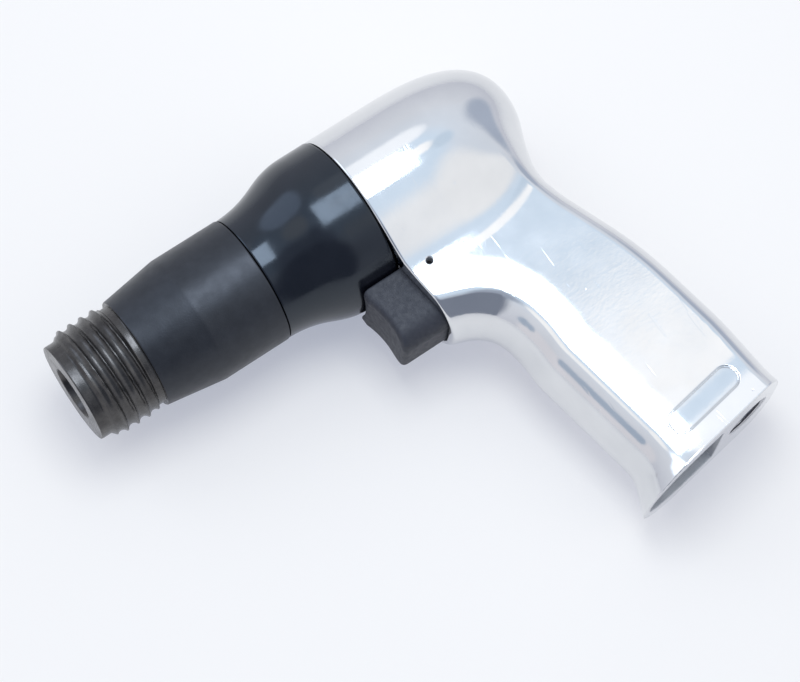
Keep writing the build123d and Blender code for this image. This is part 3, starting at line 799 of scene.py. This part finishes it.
class Finish:
    """A material with a Principled shader and short calls for the nodes that feed it."""

    def __init__(self, name, **values):
        self.material = bpy.data.materials.new(name)
        self.material.use_nodes = True
        self.tree = self.material.node_tree
        self.shader = self.tree.nodes["Principled BSDF"]
        self.place = self.tree.nodes.new("ShaderNodeTexCoord").outputs["Object"]
        for socket, value in values.items():
            self.shader.inputs[socket.replace("_", " ")].default_value = value

    def node(self, kind, links=None, **settings):
        made = self.tree.nodes.new(kind)
        for key, value in settings.items():
            setattr(made, key, value)
        for socket, value in (links or {}).items():
            if hasattr(value, "is_output"):
                self.tree.links.new(value, made.inputs[socket])
            else:
                made.inputs[socket].default_value = value
        return made

    def stretched(self, scale):
        return self.node("ShaderNodeMapping", {"Vector": self.place, "Scale": scale}).outputs["Vector"]

    def noise(self, scale, detail=4.0, roughness=0.55, place=None):
        links = {"Vector": place or self.place, "Scale": scale, "Detail": detail, "Roughness": roughness}
        return self.node("ShaderNodeTexNoise", links).outputs["Fac"]

    def dots(self, scale, size):
        """One at the middle of sparse cells, falling to zero at the given share of a cell."""
        cells = self.node("ShaderNodeTexVoronoi", {"Vector": self.place, "Scale": scale})
        return self.span(cells.outputs["Distance"], 0, size, 1, 0)

    def span(self, value, low, high, to_low, to_high, smooth=True):
        links = {"Value": value, "From Min": low, "From Max": high, "To Min": to_low, "To Max": to_high}
        kind = "SMOOTHSTEP" if smooth else "LINEAR"
        return self.node("ShaderNodeMapRange", links, interpolation_type=kind).outputs["Result"]

    def math(self, operation, first, second):
        made = self.node("ShaderNodeMath", operation=operation)
        for socket, value in zip(made.inputs, (first, second)):
            if hasattr(value, "is_output"):
                self.tree.links.new(value, socket)
            else:
                socket.default_value = value
        return made.outputs["Value"]

    def colours(self, value, *stops):
        ramp = self.node("ShaderNodeValToRGB", {"Fac": value})
        ramp.color_ramp.elements[0].position = stops[0][0]
        ramp.color_ramp.elements[0].color = (*stops[0][1], 1)
        ramp.color_ramp.elements[1].position = stops[-1][0]
        ramp.color_ramp.elements[1].color = (*stops[-1][1], 1)
        for position, colour in stops[1:-1]:
            ramp.color_ramp.elements.new(position).color = (*colour, 1)
        return ramp.outputs["Color"]

    def bumps(self, *layers):
        """Stacks bump layers of (height, strength, distance in millimetres)."""
        normal = None
        for height, strength, distance in layers:
            links = {"Height": height, "Strength": strength, "Distance": distance * MM}
            if normal is not None:
                links["Normal"] = normal
            normal = self.node("ShaderNodeBump", links).outputs["Normal"]
        self.tree.links.new(normal, self.shader.inputs["Normal"])

    def feed(self, socket, value):
        self.tree.links.new(value, self.shader.inputs[socket])


def polished_alloy():
    finish = Finish("polished_alloy", Metallic=1.0)
    cloud = finish.noise(60, detail=3)
    finish.feed("Base Color", finish.colours(cloud, (0.3, (0.69, 0.70, 0.715)), (0.7, (0.75, 0.757, 0.768))))
    smear = finish.noise(140, detail=5)
    finish.feed("Roughness", finish.span(smear, 0.25, 0.8, 0.07, 0.12))
    wave = finish.noise(22, detail=0.5)
    grain = finish.noise(900, detail=4)
    lines_along = finish.noise(1.0, detail=3, place=finish.stretched((250, 900, 2600)))
    pits = finish.dots(160, 0.05)
    streaks = finish.noise(1.0, detail=2, place=finish.stretched((520, 40, 300)))
    scratches = finish.span(streaks, 0.66, 0.70, 1, 0)
    finish.bumps(
        (wave, 0.018, 1.2),
        (grain, 0.07, 0.12),
        (lines_along, 0.05, 0.10),
        (scratches, 0.10, 0.06),
        (finish.math("SUBTRACT", 1.0, pits), 0.5, 0.15),
    )
    return finish.material


def hood_black():
    finish = Finish("hood_black", IOR=1.56, Specular_Tint=(0.74, 0.86, 1.0, 1.0))
    cloud = finish.noise(120, detail=4)
    finish.feed("Base Color", finish.colours(
        cloud, (0.3, (0.003, 0.0035, 0.006)), (0.7, (0.006, 0.0065, 0.010))
    ))
    finish.feed("Roughness", finish.span(finish.noise(220, detail=5), 0.3, 0.75, 0.12, 0.21))
    peel = finish.noise(420, detail=2)
    scuffs = finish.noise(1.0, detail=3, place=finish.stretched((300, 2200, 2200)))
    finish.bumps((peel, 0.06, 0.15), (scuffs, 0.03, 0.06))
    return finish.material


def turned_steel(name, dark, light, rough_low, rough_high, metallic):
    finish = Finish(name, Metallic=metallic)
    cloud = finish.noise(240, detail=5, roughness=0.6)
    finish.feed("Base Color", finish.colours(cloud, (0.3, dark), (0.72, light)))
    finish.feed("Roughness", finish.span(finish.noise(260, detail=6), 0.3, 0.75, rough_low, rough_high))
    tool_marks = finish.noise(1.0, detail=3, place=finish.stretched((3200, 60, 60)))
    grain = finish.noise(2400, detail=3)
    finish.bumps((tool_marks, 0.08, 0.10), (grain, 0.30, 0.08))
    return finish.material


def trigger_grey():
    finish = Finish("trigger_grey")
    cloud = finish.noise(900, detail=5)
    finish.feed("Base Color", finish.colours(
        cloud, (0.3, (0.020, 0.0225, 0.033)), (0.7, (0.028, 0.031, 0.043))
    ))
    finish.feed("Roughness", finish.span(finish.noise(700, detail=4), 0.3, 0.7, 0.46, 0.62))
    finish.bumps((finish.noise(3000, detail=5, roughness=0.7), 0.55, 0.16))
    return finish.material


def plain_metal(name, dark, light, rough):
    finish = Finish(name, Metallic=1.0)
    finish.feed("Base Color", finish.colours(finish.noise(200, detail=4), (0.3, dark), (0.7, light)))
    finish.feed("Roughness", finish.span(finish.noise(400, detail=4), 0.3, 0.7, rough - 0.06, rough + 0.08))
    finish.bumps((finish.noise(1800, detail=3), 0.12, 0.08))
    return finish.material


def seal_rubber():
    finish = Finish("seal_rubber", Specular_IOR_Level=0.35)
    finish.feed("Base Color", finish.colours(
        finish.noise(300, detail=4), (0.3, (0.010, 0.010, 0.011)), (0.7, (0.020, 0.020, 0.021))
    ))
    finish.feed("Roughness", finish.span(finish.noise(700, detail=4), 0.3, 0.7, 0.55, 0.72))
    finish.bumps((finish.noise(1500, detail=3), 0.2, 0.08))
    return finish.material


def paint_nodes(material, *names):
    for name in names:
        data = frame["nodes"][name].data
        data.materials.clear()
        data.materials.append(material)


# Studio

def add_floor():
    size = 6.0
    mesh = bpy.data.meshes.new("floor")
    corners = [(-size, -size, 0), (size, -size, 0), (size, size, 0), (-size, size, 0)]
    mesh.from_pydata(corners, [], [(0, 1, 2, 3)])
    floor = bpy.data.objects.new("floor", mesh)
    bpy.context.scene.collection.objects.link(floor)
    material = bpy.data.materials.new("floor_white")
    material.use_nodes = True
    shader = material.node_tree.nodes["Principled BSDF"]
    shader.inputs["Base Color"].default_value = (*FLOOR_COLOUR, 1)
    shader.inputs["Roughness"].default_value = 0.7
    shader.inputs["Specular IOR Level"].default_value = 0.1
    shader.inputs["Emission Color"].default_value = (*FLOOR_GLOW, 1)
    shader.inputs["Emission Strength"].default_value = 1.0
    mesh.materials.append(material)


def toward(azimuth, elevation):
    """Direction in the row frame. Azimuth runs from +X towards +Y, in degrees."""
    a = math.radians(azimuth)
    e = math.radians(elevation)
    return (math.cos(a) * math.cos(e), math.sin(a) * math.cos(e), math.sin(e))


def add_world(levels, patches):
    """Surroundings of the studio: colours by height, then soft round patches over them.

    A patch is (azimuth, elevation, radius of its full part, radius where it ends, colour), in degrees.
    """
    world = bpy.data.worlds.new("studio")
    bpy.context.scene.world = world
    world.use_nodes = True
    tree = world.node_tree
    direction = tree.nodes.new("ShaderNodeTexCoord").outputs["Generated"]
    split = tree.nodes.new("ShaderNodeSeparateXYZ")
    tree.links.new(direction, split.inputs["Vector"])
    ramp = tree.nodes.new("ShaderNodeValToRGB")
    tree.links.new(split.outputs["Z"], ramp.inputs["Fac"])
    ramp.color_ramp.elements.remove(ramp.color_ramp.elements[1])
    for number, (height, colour) in enumerate(levels):
        stop = ramp.color_ramp.elements[0] if number == 0 else ramp.color_ramp.elements.new(height)
        stop.position = height
        stop.color = (*colour, 1)
    colour = ramp.outputs["Color"]
    for azimuth, elevation, inner, outer, tint in patches:
        facing = tree.nodes.new("ShaderNodeVectorMath")
        facing.operation = "DOT_PRODUCT"
        tree.links.new(direction, facing.inputs[0])
        facing.inputs[1].default_value = toward(azimuth, elevation)
        mask = tree.nodes.new("ShaderNodeMapRange")
        mask.interpolation_type = "SMOOTHSTEP"
        tree.links.new(facing.outputs["Value"], mask.inputs["Value"])
        mask.inputs["From Min"].default_value = math.cos(math.radians(outer))
        mask.inputs["From Max"].default_value = math.cos(math.radians(inner))
        mixed = tree.nodes.new("ShaderNodeMix")
        mixed.data_type = "RGBA"
        tree.links.new(mask.outputs["Result"], mixed.inputs["Factor"])
        tree.links.new(colour, mixed.inputs[6])
        mixed.inputs[7].default_value = (*tint, 1)
        colour = mixed.outputs[2]
    tree.links.new(colour, tree.nodes["Background"].inputs["Color"])


def add_softbox(name, centre, width, depth, radiance, colour):
    """A rectangular light over the tool that faces straight down. Width runs along X and depth along Y."""
    light = bpy.data.lights.new(name, "AREA")
    light.shape = "RECTANGLE"
    light.size = width
    light.size_y = depth
    light.energy = radiance * math.pi * width * depth
    light.color = colour
    lamp = bpy.data.objects.new(name, light)
    lamp.location = centre
    lamp.visible_camera = False
    bpy.context.scene.collection.objects.link(lamp)


def add_camera():
    data = bpy.data.cameras.new("camera")
    data.lens = CAMERA_LENS
    data.sensor_width = SENSOR_WIDTH
    camera = bpy.data.objects.new("camera", data)
    back = -Vector(turned(CAMERA_FORWARD)).normalized()
    right = Vector(turned(CAMERA_RIGHT))
    up = back.cross(right).normalized()
    right = up.cross(back)
    axes = Matrix((right, up, back)).transposed()
    camera.matrix_world = Matrix.Translation(to_row(CAMERA_AT)) @ axes.to_4x4()
    bpy.context.scene.collection.objects.link(camera)
    bpy.context.scene.camera = camera


alloy = polished_alloy()
steel = plain_metal("steel", (0.42, 0.42, 0.43), (0.56, 0.56, 0.57), 0.30)
blued = turned_steel("blued_steel", (0.028, 0.031, 0.038), (0.038, 0.042, 0.051), 0.36, 0.44, 0.6)
gunmetal = turned_steel("nose_gunmetal", (0.050, 0.048, 0.048), (0.105, 0.101, 0.099), 0.22, 0.34, 0.85)
blackened = plain_metal("blackened_steel", (0.020, 0.020, 0.021), (0.035, 0.035, 0.036), 0.45)
as_cast = plain_metal("as_cast_alloy", (0.60, 0.61, 0.63), (0.72, 0.73, 0.75), 0.60)
# The inlet thread's alloy is darker than the handle's: painted shade for the inside of the inlet.
thread_alloy_painted_shade = plain_metal("thread_alloy_painted_shade", (0.40, 0.40, 0.42), (0.55, 0.55, 0.57), 0.34)
brass = plain_metal("brass", (0.62, 0.46, 0.20), (0.76, 0.58, 0.28), 0.26)
rubber = seal_rubber()

make_handle(alloy, as_cast)
make_inlet_thread(thread_alloy_painted_shade)
make_trigger(trigger_grey())
make_barrel(blued, gunmetal)
make_hood(hood_black())
make_spring(steel)
paint_nodes(brass, "throttle_bushing")
paint_nodes(
    rubber, "hood_front_oring", "hood_rear_oring", "throttle_bushing_orings", "throttle_seal",
    "throttle_stem_oring", "head_gasket",
)
paint_nodes(blackened, "trigger_pin")
paint_nodes(
    steel, "piston", "valve_case", "cycle_valve", "valve_cap", "valve_dowels", "throttle_valve",
    "spring_cup", "inlet_screen", "screen_ring",
)

add_floor()
add_world(
    levels=[
        (0.0, (0.70, 0.72, 0.80)),
        (0.5, (0.83, 0.86, 0.93)),
        (0.8, (0.85, 0.92, 1.02)),
        (0.9, (0.82, 0.96, 1.12)),
    ],
    patches=[
        (134, 46, 12, 20, (1.08, 1.09, 1.11)),
        (193, 71.5, 4, 6.5, (1.28, 1.28, 1.29)),
        (181, 61, 4, 9, (0.70, 0.83, 0.98)),
        (242, 58, 6, 11, (1.22, 1.26, 1.32)),
        (345, 55, 8, 15, (1.20, 1.20, 1.20)),
        (50, 55, 13, 27, (0.42, 0.47, 0.57)),
        (302, 40, 14, 20, (1.60, 1.80, 2.15)),
        (189, 25, 10, 20, (0.50, 0.56, 0.68)),
        (352, 6, 10, 18, (0.86, 0.85, 0.90)),
        (3, 17, 4, 8, (0.46, 0.54, 0.66)),
        (64, 22, 29, 41, (0.24, 0.27, 0.34)),
    ],
)
add_softbox("window", (-0.045, -0.07, 0.53), 0.22, 0.28, 6.2, (0.82, 0.90, 1.0))
add_camera()
bpy.context.scene.view_settings.view_transform = "Standard"
